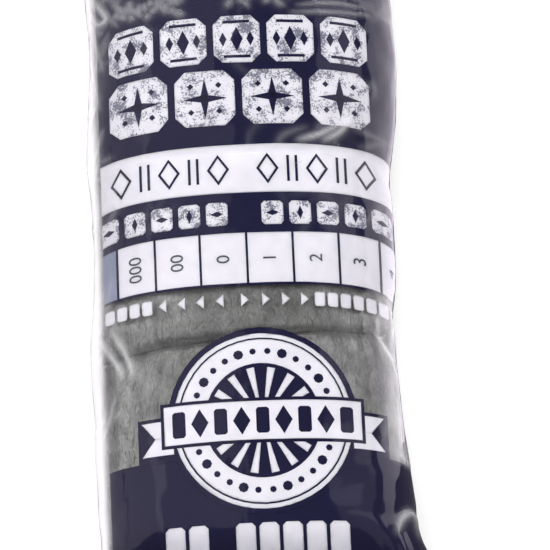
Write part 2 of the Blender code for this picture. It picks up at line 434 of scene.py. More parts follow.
# Where the film is clear and stands off the wool, so that it looks milky seen edge-on; the milk there is
# partly real haze and partly a painted reflection of the white surroundings
CLEAR_LEFT = (-0.0480, -0.0520)
CLEAR_RIGHT = (0.0400, 0.0520)
WINDOW_TOP = -0.0472
WINDOW_BOTTOM = -0.1056
WINDOW_EASING = 0.002
MILK_FACING = (0.20, 0.80)
MILK_LEAST = 0.002
EDGE_MILK_AND_REFLECTION_MOST = 0.85
RIGHT_MILK_AND_REFLECTION = 0.38
# How much the creases whiten: partly the film's own whitening, partly a painted highlight for the glints
# on them
CREASE_MILK_AND_GLINT = 0.36


def bag_section(y):
    """One outline of the bag at y, from the middle of its back round by the right side."""
    past = np.clip((abs(y) - END_START) / END_LENGTH, 0, 1)
    full = 1 - past**END_ROUND_POWER
    spread = past**END_SPREAD_POWER
    place = (abs(y) / ROW_PITCH) % 1.0
    from_middle = abs(2 * place - 1)
    dip = from_middle**ROW_DIP_POWER * (abs(y) < 1.5 * ROW_PITCH)
    angle = np.linspace(-math.pi / 2, 1.5 * math.pi, ROUND_POINTS)
    cos, sin = np.cos(angle), np.sin(angle)
    above = sin > 0
    power = np.where(above, CROWN_POWER, BACK_POWER)
    rise = BAG_HEIGHT - ROW_DIP * dip - WAIST_HEIGHT
    up = np.maximum(rise * full, SEAL_HALF_THICKNESS)
    down = np.maximum((WAIST_HEIGHT + BACK_FLAT_CUT) * full, SEAL_HALF_THICKNESS)
    right_form, left_form = side_form(y)
    half_width = BAG_HALF_WIDTH + (SEAL_HALF_WIDTH - BAG_HALF_WIDTH) * spread
    half_width = half_width + np.where(cos > 0, right_form, left_form) * math.sqrt(full)
    waist = SEAL_HEIGHT + (WAIST_HEIGHT - SEAL_HEIGHT) * full
    x = half_width * np.sign(cos) * np.abs(cos) ** (2 / power)
    z = waist + np.where(above, up, down) * np.sign(sin) * np.abs(sin) ** (2 / power)
    x = x - math.copysign(SEAL_SHIFT * spread, y)
    return x, np.maximum(z, 0.0)


def waves(across, along, random, count, shortest, longest):
    """Smooth undulation from -1 to 1 about, as a sum of ripples in random directions."""
    total = np.zeros_like(across)
    for _ in range(count):
        heading = random.uniform(0, math.pi)
        length = random.uniform(shortest, longest)
        offset = random.uniform(0, 2 * math.pi)
        run = across * math.cos(heading) + along * math.sin(heading)
        total += np.sin(2 * math.pi * run / length + offset)
    return total / math.sqrt(count)


def knotted(knots):
    """A value for every whole step, in straight runs between the given knots."""
    steps, values = zip(*knots)
    return np.interp(np.arange(steps[-1] + 1), steps, values)


def film_shape():
    """Where every vertex of the flat film goes, and the film's own coordinates of each."""
    u = knotted(COLUMN_KNOTS)
    places = knotted(ROW_KNOTS)
    shape = np.empty((ALONG + 1, AROUND + 1, 3))
    across = np.empty((ALONG + 1, AROUND + 1))
    for row, y in enumerate(places):
        x, z = bag_section(y)
        step = np.hypot(np.diff(x), np.diff(z))
        run = np.concatenate(([0], np.cumsum(step)))
        shape[row, :, 0] = np.interp(u * run[-1], run, x)
        shape[row, :, 1] = y
        shape[row, :, 2] = np.interp(u * run[-1], run, z)
        across[row] = (0.5 - u) * run[-1]
    along = np.repeat(places[:, None], AROUND + 1, axis=1)
    return shape, across, along


def outward(shape):
    """The outward direction at each vertex of the wrapped film."""
    around = np.roll(shape[:, :-1], -1, axis=1) - np.roll(shape[:, :-1], 1, axis=1)
    around = np.concatenate((around, around[:, :1]), axis=1)
    lengthwise = np.gradient(shape, axis=0)
    normal = np.cross(around, lengthwise)
    return -normal / np.maximum(np.linalg.norm(normal, axis=2), 1e-12)[..., None]


def eased(points, steps):
    """Places along a smooth curve through the given points."""
    points = np.array(points)
    padded = np.vstack((2 * points[0] - points[1], points, 2 * points[-1] - points[-2]))
    places = []
    for t in np.linspace(0, len(points) - 1 - 1e-9, steps):
        i, f = int(t), t - int(t)
        a, b, c, d = padded[i : i + 4]
        bend = c - a + f * (2 * a - 5 * b + 4 * c - d + f * (3 * (b - c) + d - a))
        places.append(b + 0.5 * f * bend)
    return np.array(places)


def all_creases():
    """Every crease as its points, height and half width: the listed ones, then the crinkles."""
    random = np.random.default_rng(23)
    creases = [(points, SHARP_HEIGHT, SHARP_WIDTH) for points in SHARP_CREASES]
    creases += [(points, FINE_HEIGHT, FINE_WIDTH) for points in FINE_CREASES]
    for middle, reach, count, longest, height in CRINKLED:
        for _ in range(count):
            start = np.array(middle) + random.uniform(-1, 1, 2) * reach
            turn = random.normal(math.pi / 2, CRINKLE_TURN)
            half = random.uniform(SHORTEST_SHARE, 1.0) * longest / 2
            step = half * np.array((math.cos(turn), math.sin(turn)))
            bow = random.normal(0, CRINKLE_BOW, 2) * longest
            creases.append(((start - step, start + bow, start + step), height, CRINKLE_WIDTH))
    return creases


def crease_heights(shape):
    """How far the creases raise each vertex of the front, in metres."""
    raised = np.zeros(shape.shape[:2])
    front_side = shape[..., 2] > WAIST_HEIGHT - CREASED_DEPTH
    for points, height, width in all_creases():
        route = eased(points, CREASE_STEPS)
        low, high = route.min(0) - 4 * width, route.max(0) + 4 * width
        near = front_side & (shape[..., 0] > low[0]) & (shape[..., 0] < high[0])
        near &= (shape[..., 1] > low[1]) & (shape[..., 1] < high[1])
        gap = shape[near][:, None, :2] - route[None]
        distance = np.hypot(gap[..., 0], gap[..., 1])
        closest = distance.argmin(1)
        fade = np.sin(math.pi * (closest + 0.5) / CREASE_STEPS) ** 0.5
        ridge = height * fade * np.exp(-((distance.min(1) / width) ** 1.5))
        raised[near] = np.maximum(raised[near], ridge)
    return raised


def film_wrinkles(across, along):
    """How far the film stands out from its drawn-tight shape, in metres."""
    random = np.random.default_rng(5)
    past = np.abs(along) - END_START
    closing = np.clip((past + GATHER_LEAD) / (END_LENGTH + GATHER_LEAD), 0, 1)
    sealed = np.clip((past - END_LENGTH + SEAL_LEAD) / SEAL_EASING, 0, 1)
    loose = SLACK_DEPTH * waves(across, along, random, *SLACK_WAVES)
    loose += RIPPLE_DEPTH * waves(across, along, random, *RIPPLE_WAVES)
    stray = 3 * waves(across, along, random, *GATHER_WAVES)
    gather = np.sin(2 * math.pi * across / GATHER_PITCH + stray)
    loose = loose * (1 - sealed)
    loose += GATHER_DEPTH * gather * np.sin(math.pi * closing) * (1 - sealed) * closing**3
    return loose


def add_film():
    """Lays a grid round the pads as the closed tube of film, and notes how creased it is."""
    bpy.ops.object.select_all(action="DESELECT")
    bpy.ops.mesh.primitive_grid_add(x_subdivisions=AROUND, y_subdivisions=ALONG, size=1.0)
    piece = bpy.context.object
    piece.name = "film_bag_clear"
    shape, across, along = film_shape()
    creases = crease_heights(shape)
    shape = shape + outward(shape) * (film_wrinkles(across, along) + creases)[..., None]
    sealed = np.clip((np.abs(along) - END_START - END_LENGTH) / CRIMP_EASING, 0, 1)
    shape[..., 2] += sealed * CRIMP_DEPTH * np.sin(2 * math.pi * along / CRIMP_PITCH)
    shape[..., 2] = np.maximum(shape[..., 2], 0)
    shape[:, -1] = shape[:, 0]
    flat = points_of(piece.data)
    column = np.rint((flat[:, 0] + 0.5) * AROUND).astype(int)
    row = np.rint((flat[:, 1] + 0.5) * ALONG).astype(int)
    placed = shape[row, column]
    piece.data.vertices.foreach_set("co", placed.ravel())
    # The crease heights are kept to whiten the creases in the material, which also paints highlights
    # along them
    crease_whitening_and_glint = piece.data.attributes.new("crease_whitening_and_glint", "FLOAT", "POINT")
    crease_whitening_and_glint.data.foreach_set("value", creases[row, column] / creases.max())
    piece.data.update()
    return piece


film = add_film()
only(film)
bpy.ops.object.duplicate()
front = bpy.context.object
front.name = "front_panel"
only(film)
bpy.ops.object.mode_set(mode="EDIT")
bpy.ops.mesh.select_all(action="SELECT")
bpy.ops.mesh.remove_doubles(threshold=MERGE_DISTANCE / 2)
bpy.ops.mesh.select_all(action="DESELECT")
bpy.ops.mesh.select_mode(type="EDGE")
bpy.ops.mesh.select_non_manifold()
bpy.ops.mesh.fill_holes(sides=0)
bpy.ops.mesh.select_all(action="SELECT")
bpy.ops.mesh.normals_make_consistent(inside=False)
bpy.ops.object.mode_set(mode="OBJECT")
film.data.shade_smooth()


def ramp_between(tree, value, start, end):
    """A smooth rise from 0 to 1 as the value goes from start to end."""
    made = node(tree, "ShaderNodeMapRange", (-900, 500), interpolation_type="SMOOTHSTEP")
    made.inputs["From Min"].default_value = start
    made.inputs["From Max"].default_value = end
    tree.links.new(value, made.inputs["Value"])
    return made.outputs["Result"]


def multiply(tree, first, second, factor=1.0):
    """The product of two values, or of one value and a plain factor."""
    made = node(tree, "ShaderNodeMath", (-750, 500), operation="MULTIPLY")
    made.inputs[1].default_value = factor
    tree.links.new(first, made.inputs[0])
    if second:
        tree.links.new(second, made.inputs[1])
    return made.outputs[0]


def film_material():
    """Clear glossy film, milky on its creases and where its loose clear parts are seen edge-on; the milk
    is partly painted light, a highlight on the creases and a reflection where seen edge-on.
    """
    made, tree, shader, link = new_material("clear_film")
    tree.nodes.remove(shader)
    out = tree.nodes["Material Output"]
    where = node(tree, "ShaderNodeTexCoord", (-1000, 0)).outputs["Object"]
    draw = node(tree, "ShaderNodeMapping", (-1000, -200), Scale=(1.0, 0.3, 1.0))
    link(where, draw.inputs["Vector"])
    ripple = node(tree, "ShaderNodeTexNoise", (-800, -200), Scale=110, Detail=2, Roughness=0.45)
    link(draw.outputs[0], ripple.inputs["Vector"])
    bump = node(tree, "ShaderNodeBump", (-600, -200), Strength=0.35, Distance=0.0012)
    link(ripple.outputs["Fac"], bump.inputs["Height"])
    facing = node(tree, "ShaderNodeLayerWeight", (-700, 200), Blend=0.5).outputs["Facing"]
    tint = node(tree, "ShaderNodeMix", (-400, 300), data_type="RGBA")
    tint.inputs[6].default_value = FILM_TINT
    tint.inputs[7].default_value = FILM_EDGE_TINT
    link(facing, tint.inputs[0])
    clear = node(tree, "ShaderNodeBsdfTransparent", (-200, 250))
    link(tint.outputs[2], clear.inputs["Color"])
    milk_and_painted_light = node(tree, "ShaderNodeBsdfDiffuse", (-200, 100), Color=MILK_AND_PAINTED_LIGHT_COLOUR)
    split = node(tree, "ShaderNodeSeparateXYZ", (-1150, 500))
    link(where, split.inputs[0])
    left = ramp_between(tree, split.outputs["X"], *CLEAR_LEFT)
    right = multiply(tree, ramp_between(tree, split.outputs["X"], *CLEAR_RIGHT), None, RIGHT_MILK_AND_REFLECTION)
    ease = WINDOW_EASING
    top = ramp_between(tree, split.outputs["Y"], WINDOW_TOP + ease, WINDOW_TOP - ease)
    bottom = ramp_between(tree, split.outputs["Y"], WINDOW_BOTTOM - ease, WINDOW_BOTTOM + ease)
    window = multiply(tree, multiply(tree, top, bottom), right)
    clear_part = node(tree, "ShaderNodeMath", (-600, 600), operation="MAXIMUM")
    link(left, clear_part.inputs[0])
    link(window, clear_part.inputs[1])
    # Seen edge-on, the clear film's milk is partly a painted reflection of the white surroundings
    edge_on = ramp_between(tree, facing, *MILK_FACING)
    share = multiply(tree, multiply(tree, clear_part.outputs[0], edge_on), None, EDGE_MILK_AND_REFLECTION_MOST)
    # Along the creases the milk is partly a painted highlight
    creased = node(tree, "ShaderNodeAttribute", (-700, 700), attribute_name="crease_whitening_and_glint")
    crease_milk_and_glint = multiply(tree, creased.outputs["Fac"], None, CREASE_MILK_AND_GLINT)
    haze_and_painted_light = node(tree, "ShaderNodeMath", (-350, 50), operation="ADD", use_clamp=True)
    haze_and_painted_light.inputs[1].default_value = MILK_LEAST
    both = node(tree, "ShaderNodeMath", (-500, 50), operation="ADD")
    link(share, both.inputs[0])
    link(crease_milk_and_glint, both.inputs[1])
    link(both.outputs[0], haze_and_painted_light.inputs[0])
    body = node(tree, "ShaderNodeMixShader", (0, 150))
    link(haze_and_painted_light.outputs[0], body.inputs[0])
    link(clear.outputs[0], body.inputs[1])
    link(milk_and_painted_light.outputs[0], body.inputs[2])
    gloss = node(tree, "ShaderNodeBsdfGlossy", (-200, -100), Roughness=0.08, Color=GLOSS_TINT)
    link(bump.outputs[0], gloss.inputs["Normal"])
    mirror = node(tree, "ShaderNodeFresnel", (-200, -300), IOR=1.5)
    link(bump.outputs[0], mirror.inputs["Normal"])
    surface = node(tree, "ShaderNodeMixShader", (200, 0))
    link(mirror.outputs[0], surface.inputs[0])
    link(body.outputs[0], surface.inputs[1])
    link(gloss.outputs[0], surface.inputs[2])
    link(surface.outputs[0], out.inputs["Surface"])
    return made


film.data.materials.append(film_material())
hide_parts("film_bag")
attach(film, "root")

# Vent rim
# The small round vent in the back lets air out of the bag. It is melted through the film,
# which leaves this thickened and slightly uneven rim.
VENT_PLACE = (0, 0.110, 0.0005)
VENT_RADIUS = 0.0026
RIM_RADIUS = 0.00035
RIM_WAVE = 0.03
RIM_NICK = 0.02
bpy.ops.object.select_all(action="DESELECT")
bpy.ops.mesh.primitive_torus_add(
    major_segments=64,
    minor_segments=16,
    major_radius=VENT_RADIUS,
    minor_radius=RIM_RADIUS,
)
vent_rim = bpy.context.object
vent_rim.name = "vent_rim"
rim = points_of(vent_rim.data)
rim_turn = np.arctan2(rim[:, 1], rim[:, 0])
uneven = 1 + RIM_WAVE * np.sin(3 * rim_turn) + RIM_NICK * np.sin(7 * rim[:, 0] / VENT_RADIUS)
rim[:, :2] *= uneven[:, None]
vent_rim.data.vertices.foreach_set("co", (rim + VENT_PLACE).ravel())
vent_rim.data.materials.append(film.data.materials[0])
vent_rim.data.shade_smooth()
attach(vent_rim, "root")

# Printed fields
# Navy and white ink on the inner face of the film, so that the film's gloss lies over it.
# Each field is cut from the film's own front panel, to straight edges, and sits just inside it.
NAVY = (0.0075, 0.0068, 0.0500, 1)
WHITE = (0.90, 0.90, 0.92, 1)
WORN_SPECK = (0.26, 0.26, 0.33, 1)
SLATE = (0.36, 0.40, 0.51, 1)
GREY = (0.09, 0.095, 0.13, 1)
DARK_SHARE = 0.93
LIGHT_SHARE = 1.12
LEAST_LIGHT = 0.002
CLUSTER_WEIGHT = 0.8
SPECK_START, SPECK_END = 0.50, 0.54
INK_THICKNESS = 0.000012
FIELD_DEPTH = 0.00024
LAYER_STEP = 0.000025
CUT_LIMIT = 0.000001
PRINT_LEFT = -0.0490
FRONT_START = 0.205
FRONT_END = 0.765
UPPER_FIELD_END = 0.0021
WHITE_BAND_END = -0.0151
LOWER_BAND_END = -0.0292
FAR = 0.2
SIDE = 0.09
panels = []


def ink_material(name, colour, worn=0.0):
    """Flat printed ink, slightly uneven, with worn specks where a share of them is given."""
    made, tree, shader, link = new_material(name)
    where = node(tree, "ShaderNodeTexCoord", (-900, 0)).outputs["Object"]
    uneven = node(tree, "ShaderNodeTexNoise", (-700, 100), Scale=220, Detail=5, Roughness=0.6)
    link(where, uneven.inputs["Vector"])
    shade = node(tree, "ShaderNodeMix", (-400, 100), data_type="RGBA")
    shade.inputs[6].default_value = tuple(c * DARK_SHARE for c in colour[:3]) + (1,)
    lighter = [min(1, c * LIGHT_SHARE + LEAST_LIGHT) for c in colour[:3]]
    shade.inputs[7].default_value = (*lighter, 1)
    link(uneven.outputs["Fac"], shade.inputs[0])
    last = shade.outputs[2]
    if worn:
        speck = node(tree, "ShaderNodeTexNoise", (-700, -200), Scale=1500, Detail=3, Roughness=0.7)
        link(where, speck.inputs["Vector"])
        cluster = node(tree, "ShaderNodeTexNoise", (-700, -400), Scale=210, Detail=2)
        link(where, cluster.inputs["Vector"])
        added = node(tree, "ShaderNodeMath", (-500, -300), operation="MULTIPLY_ADD")
        added.inputs[1].default_value = CLUSTER_WEIGHT
        link(cluster.outputs["Fac"], added.inputs[0])
        link(speck.outputs["Fac"], added.inputs[2])
        cut = node(tree, "ShaderNodeValToRGB", (-350, -300))
        cut.color_ramp.elements[0].position = SPECK_START
        cut.color_ramp.elements[1].position = SPECK_END
        shift = node(tree, "ShaderNodeMath", (-420, -500), operation="SUBTRACT")
        shift.inputs[1].default_value = SPECK_END - worn
        link(added.outputs[0], shift.inputs[0])
        link(shift.outputs[0], cut.inputs["Fac"])
        over = node(tree, "ShaderNodeMix", (-100, 0), data_type="RGBA")
        over.inputs[7].default_value = WORN_SPECK
        link(cut.outputs["Color"], over.inputs[0])
        link(last, over.inputs[6])
        last = over.outputs[2]
    link(last, shader.inputs["Base Color"])
    shader.inputs["Roughness"].default_value = 0.55
    shader.inputs["Specular IOR Level"].default_value = 0.2
    return made


def start_front():
    """Keeps the front of the flat film, from a little inside its left edge round to the right."""
    mesh = front.data
    share = np.tile(knotted(COLUMN_KNOTS), ALONG + 1)
    keep = (FRONT_START < share) & (share < FRONT_END)
    only(front)
    bpy.ops.object.mode_set(mode="EDIT")
    bpy.ops.mesh.select_mode(type="VERT")
    bpy.ops.mesh.select_all(action="DESELECT")
    bpy.ops.object.mode_set(mode="OBJECT")
    mesh.vertices.foreach_set("select", ~keep)
    bpy.ops.object.mode_set(mode="EDIT")
    bpy.ops.mesh.delete(type="VERT")
    bpy.ops.mesh.select_all(action="SELECT")
    bpy.ops.mesh.flip_normals()
    edge = (PRINT_LEFT, 0, 0)
    bpy.ops.mesh.bisect(plane_co=edge, plane_no=(1, 0, 0), clear_inner=True, threshold=CUT_LIMIT)
    bpy.ops.object.mode_set(mode="OBJECT")


def patch(outline, layer, panel):
    """Cuts a panel to a convex outline, given anticlockwise, and sets it under the film."""
    piece = bpy.data.objects.new("patch", panel.data.copy())
    bpy.context.scene.collection.objects.link(piece)
    only(piece)
    bpy.ops.object.mode_set(mode="EDIT")
    for i, (x, y) in enumerate(outline):
        x2, y2 = outline[(i + 1) % len(outline)]
        out = Vector((y2 - y, x - x2, 0)).normalized()
        bpy.ops.mesh.select_all(action="SELECT")
        bpy.ops.mesh.bisect(plane_co=(x, y, 0), plane_no=out, clear_outer=True, threshold=CUT_LIMIT)
    bpy.ops.mesh.select_all(action="SELECT")
    bpy.ops.transform.shrink_fatten(value=layer * LAYER_STEP - FIELD_DEPTH)
    bpy.ops.object.mode_set(mode="OBJECT")
    return piece


def rectangle(left, right, low, high):
    return [(left, low), (right, low), (right, high), (left, high)]


def plate(x, y, half_width, half_height, chamfer):
    """An upright rectangle round (x, y) with cut corners."""
    w, h, c = half_width, half_height, chamfer
    offsets = [(c - w, -h), (w - c, -h), (w, c - h), (w, h - c), (w - c, h), (c - w, h), (-w, h - c)]
    return [(x + a, y + b) for a, b in offsets + [(-w, c - h)]]


def lozenge(x, y, half_width, half_height):
    return [(x, y - half_height), (x + half_width, y), (x, y + half_height), (x - half_width, y)]


def disc(x, y, radius, sides=48):
    turns = [2 * math.pi * i / sides for i in range(sides)]
    return [(x + radius * math.cos(t), y + radius * math.sin(t)) for t in turns]


def panel_of(left, right, low, high):
    """A smaller panel to cut details from, which is thrown away at the end."""
    made = patch(rectangle(left, right, low, high), FIELD_DEPTH / LAYER_STEP, front)
    panels.append(made)
    return made


def join_print(name, patches, ink):
    """Joins like patches into one printed layer with the thickness of ink."""
    only(*patches)
    if len(patches) > 1:
        bpy.ops.object.join()
    piece = bpy.context.object
    piece.name = name
    body = piece.modifiers.new("body", "SOLIDIFY")
    body.thickness = INK_THICKNESS
    finish_modifiers(piece)
    piece.data.materials.clear()
    piece.data.materials.append(ink)
    piece.data.shade_smooth()
    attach(piece, "root")
    return piece


start_front()
navy_ink = ink_material("navy_ink", NAVY)
white_ink = ink_material("white_ink", WHITE)
worn_ink = ink_material("worn_white_ink", WHITE, worn=0.10)
navy_fields = [
    patch(rectangle(-SIDE, SIDE, UPPER_FIELD_END, FAR), 0, front),
    patch(rectangle(-SIDE, SIDE, LOWER_BAND_END, WHITE_BAND_END), 0, front),
    patch(rectangle(-SIDE, SIDE, -FAR, WINDOW_BOTTOM), 0, front),
]
white_fields = [
    patch(rectangle(-SIDE, SIDE, WHITE_BAND_END, UPPER_FIELD_END), 0, front),
    patch(rectangle(-SIDE, SIDE, WINDOW_TOP, LOWER_BAND_END), 0, front),
]
join_print("print_navy_fields", navy_fields, navy_ink)
join_print("print_white_fields", white_fields, white_ink)

# Ornament in the upper field
# Two rows of large plates with cut corners, in worn white ink over the navy field, each with
# a pattern that is pierced through to the navy.

# First plate's middle, pitch, count, middle along the bag, half width, half height, cut corner
TOP_ROW = (-0.0365, 0.0184, 5, 0.0396, 0.0080, 0.0084, 0.0030)
NEXT_ROW = (-0.0345, 0.0231, 4, 0.0188, 0.0103, 0.0098, 0.0036)
ROW_MARGIN = 0.012
PLATE_LAYER, HOLE_LAYER = 2, 4
TALL_LOZENGE = (0.0021, 0.0044)
SIDE_LOZENGE = (0.0013, 0.0026)
SIDE_LOZENGE_PLACE = 0.0047
SLOT_PLACE = 0.0062
SLOT_HALF_LENGTH = 0.0046
SLOT_HALF_HEIGHT = 0.0005
UPRIGHT_NEEDLE = (0.0016, 0.0072)
LEVEL_NEEDLE = (0.0076, 0.0015)
CORNER_LOZENGE = (0.0011, 0.0011)
CORNER_PLACE = (0.0048, 0.0046)
worn_plates, piercings = [], []
first, pitch, count, middle, half_w, half_h, chamfer = TOP_ROW
row_panel = panel_of(-SIDE, SIDE, middle - ROW_MARGIN, middle + ROW_MARGIN)
for i in range(count):
    x = first + i * pitch
    worn_plates.append(patch(plate(x, middle, half_w, half_h, chamfer), PLATE_LAYER, row_panel))
    piercings.append(patch(lozenge(x, middle, *TALL_LOZENGE), HOLE_LAYER, row_panel))
    for side in (-1, 1):
        beside = lozenge(x + side * SIDE_LOZENGE_PLACE, middle, *SIDE_LOZENGE)
        piercings.append(patch(beside, HOLE_LAYER, row_panel))
        y = middle + side * SLOT_PLACE
        left, right = x - SLOT_HALF_LENGTH, x + SLOT_HALF_LENGTH
        slot = rectangle(left, right, y - SLOT_HALF_HEIGHT, y + SLOT_HALF_HEIGHT)
        piercings.append(patch(slot, HOLE_LAYER, row_panel))
first, pitch, count, middle, half_w, half_h, chamfer = NEXT_ROW
row_panel = panel_of(-SIDE, SIDE, middle - ROW_MARGIN, middle + ROW_MARGIN)
for i in range(count):
    x = first + i * pitch
    worn_plates.append(patch(plate(x, middle, half_w, half_h, chamfer), PLATE_LAYER, row_panel))
    piercings.append(patch(lozenge(x, middle, *UPRIGHT_NEEDLE), HOLE_LAYER, row_panel))
    piercings.append(patch(lozenge(x, middle, *LEVEL_NEEDLE), HOLE_LAYER, row_panel))
    for across, up in ((-1, -1), (-1, 1), (1, -1), (1, 1)):
        place = (x + across * CORNER_PLACE[0], middle + up * CORNER_PLACE[1])
        piercings.append(patch(lozenge(*place, *CORNER_LOZENGE), HOLE_LAYER, row_panel))

# Ornament in the two bands
# Thin navy lozenge rings and pairs of bars are printed on the white band, and small blocks
# in worn white ink on the navy band below it; each row has a gap in its middle.
BAND_FIRST = -0.0415
BAND_MIDDLE = -0.0066
BAND_PITCH = 0.0084
PLACES_IN_BAND = 11
GAP_PLACE = 5
LINE_LAYER = 3
BAR_PLACE = 0.0014
BAR_HALF_WIDTH = 0.00045
BAR_HALF_HEIGHT = 0.0047
RING_OUTSIDE = (0.0038, 0.0056)
RING_INSIDE = (0.0028, 0.0042)
BLOCK_FIRST = -0.0465
BLOCK_MIDDLE = -0.0224
BLOCK_PITCH = 0.0094
BLOCK_SHAPE = (0.0037, 0.0041, 0.0010)
BLOCK_PIERCINGS = ((0.0022, 0.0010), (0.0010, 0.0024))
band_panel = panel_of(-SIDE, SIDE, WHITE_BAND_END, UPPER_FIELD_END)
ring_white, ring_navy = [], []
low, high = BAND_MIDDLE - BAR_HALF_HEIGHT, BAND_MIDDLE + BAR_HALF_HEIGHT
for i in range(PLACES_IN_BAND):
    x = BAND_FIRST + i * BAND_PITCH
    if i == GAP_PLACE:
        continue
    if i % 2:
        for side in (-1, 1):
            x_bar = x + side * BAR_PLACE
            bar = rectangle(x_bar - BAR_HALF_WIDTH, x_bar + BAR_HALF_WIDTH, low, high)
            ring_navy.append(patch(bar, LINE_LAYER, band_panel))
    else:
        ring_navy.append(patch(lozenge(x, BAND_MIDDLE, *RING_OUTSIDE), LINE_LAYER, band_panel))
        ring_white.append(patch(lozenge(x, BAND_MIDDLE, *RING_INSIDE), HOLE_LAYER, band_panel))
block_panel = panel_of(-SIDE, SIDE, LOWER_BAND_END, WHITE_BAND_END)
for i in range(PLACES_IN_BAND):
    x = BLOCK_FIRST + i * BLOCK_PITCH
    if i == GAP_PLACE:
        continue
    worn_plates.append(patch(plate(x, BLOCK_MIDDLE, *BLOCK_SHAPE), PLATE_LAYER, block_panel))
    pierced = lozenge(x, BLOCK_MIDDLE, *BLOCK_PIERCINGS[i % 2])
    piercings.append(patch(pierced, HOLE_LAYER, block_panel))

# Grade scale
# White boxes between thin navy lines with plain numerals turned on their side, the first box
# in slate; under it small white arrowheads and two groups of plain white blocks.
DIVIDERS = (-0.0438, -0.0305, -0.0151, 0.0007, 0.0163, 0.0319, 0.0461)
NUMERALS = ("000", "00", "0", "1", "2", "3", "4")
SCALE_MARGIN = 0.001
LINE_HALF = 0.0004
FOOT_LINE = (WINDOW_TOP - 0.0004, WINDOW_TOP + 0.0005)
NUMERAL_SIZE = 0.0062
LAST_NUMERAL = 0.0500
LAST_SQUEEZE = 0.35
NUMERAL_DROP = 0.1
scale_panel = panel_of(-SIDE, SIDE, WINDOW_TOP - SCALE_MARGIN, LOWER_BAND_END)
lines = []
for x in DIVIDERS:
    divider = rectangle(x - LINE_HALF, x + LINE_HALF, WINDOW_TOP, LOWER_BAND_END)
    lines.append(patch(divider, LINE_LAYER, scale_panel))
lines.append(patch(rectangle(-SIDE, SIDE, *FOOT_LINE), LINE_LAYER, scale_panel))
first_box = patch(rectangle(-SIDE, DIVIDERS[0], WINDOW_TOP, LOWER_BAND_END), PLATE_LAYER, scale_panel)
join_print("print_first_box", [first_box], ink_material("slate_ink", SLATE))


def numeral(text, x, y, squeeze, target):
    """Plain numerals, turned to read upwards, dropped on a panel that is already under the film."""
    bpy.ops.object.select_all(action="DESELECT")
    bpy.ops.object.text_add(location=(0, 0, 0))
    made = bpy.context.object
    made.data.body = text
    made.data.size = NUMERAL_SIZE
    made.data.align_x = "CENTER"
    made.data.align_y = "CENTER"
    only(made)
    bpy.ops.object.convert(target="MESH")
    made = bpy.context.object
    turned = Matrix.Diagonal((squeeze, 1, 1, 1)) @ Matrix.Rotation(math.pi / 2, 4, "Z")
    made.data.transform(Matrix.Translation((x, y, NUMERAL_DROP)) @ turned)
    bpy.ops.object.mode_set(mode="EDIT")
    bpy.ops.mesh.select_all(action="SELECT")
    bpy.ops.mesh.subdivide(number_cuts=2)
    bpy.ops.object.mode_set(mode="OBJECT")
    wrap = made.modifiers.new("wrap", "SHRINKWRAP")
    wrap.target = target
    wrap.wrap_method = "PROJECT"
    wrap.use_project_z = True
    wrap.use_negative_direction = True
    finish_modifiers(made)
    return made


numeral_panel = patch(rectangle(-SIDE, SIDE, WINDOW_TOP, LOWER_BAND_END), HOLE_LAYER, front)
panels.append(numeral_panel)
figures = []
figure_height = (WINDOW_TOP + LOWER_BAND_END) / 2
for text, near, far in zip(NUMERALS, DIVIDERS, DIVIDERS[1:]):
    figures.append(numeral(text, (near + far) / 2, figure_height, 1.0, numeral_panel))
figures.append(numeral(NUMERALS[-1], LAST_NUMERAL, figure_height, LAST_SQUEEZE, numeral_panel))
join_print("print_numerals", figures, ink_material("grey_ink", GREY))

MARKS_LOW, MARKS_HIGH = -0.058, WINDOW_TOP - 0.0006
ARROW_MIDDLE = -0.0525
ARROW_HALF = 0.0023
ARROW_POINT = 0.0014
ARROW_BACK = 0.0013
LEFT_ARROWS = (-0.0285, -0.0221, -0.0158, -0.0091)
RIGHT_ARROWS = (-0.0007, 0.0064, 0.0131, 0.0195)
SMALL_BLOCK = (0.0018, 0.0025, 0.0006)
BLOCK_STEP = 0.0044
LEFT_BLOCKS, RIGHT_BLOCKS = (-0.0338, 4), (0.0246, 7)
under_panel = panel_of(-SIDE, SIDE, MARKS_LOW, MARKS_HIGH)
low, high = ARROW_MIDDLE - ARROW_HALF, ARROW_MIDDLE + ARROW_HALF
marks = []
for x in LEFT_ARROWS:
    back = x + ARROW_BACK
    arrow = [(x - ARROW_POINT, ARROW_MIDDLE), (back, low), (back, high)]
    marks.append(patch(arrow, PLATE_LAYER, under_panel))
for x in RIGHT_ARROWS:
    back = x - ARROW_BACK
    arrow = [(back, low), (x + ARROW_POINT, ARROW_MIDDLE), (back, high)]
    marks.append(patch(arrow, PLATE_LAYER, under_panel))
block_places = [LEFT_BLOCKS[0] - BLOCK_STEP * i for i in range(LEFT_BLOCKS[1])]
block_places += [RIGHT_BLOCKS[0] + BLOCK_STEP * i for i in range(RIGHT_BLOCKS[1])]
for x in block_places:
    marks.append(patch(plate(x, ARROW_MIDDLE, *SMALL_BLOCK), PLATE_LAYER, under_panel))

# Round seal
# A white disc with thin navy rings and a burst of rays, printed across the window's lower
# edge, and a straight white ribbon with notched tails laid over it.
SEAL_X, SEAL_Y = 0.0036, -0.0940
SEAL_REACH = (0.045, 0.034)
# Rings from the outside in, by turns navy and white, each one printed over the last
RING_RADII = (0.0320, 0.0300, 0.0285, 0.0279, 0.0195)
RAYS = 16
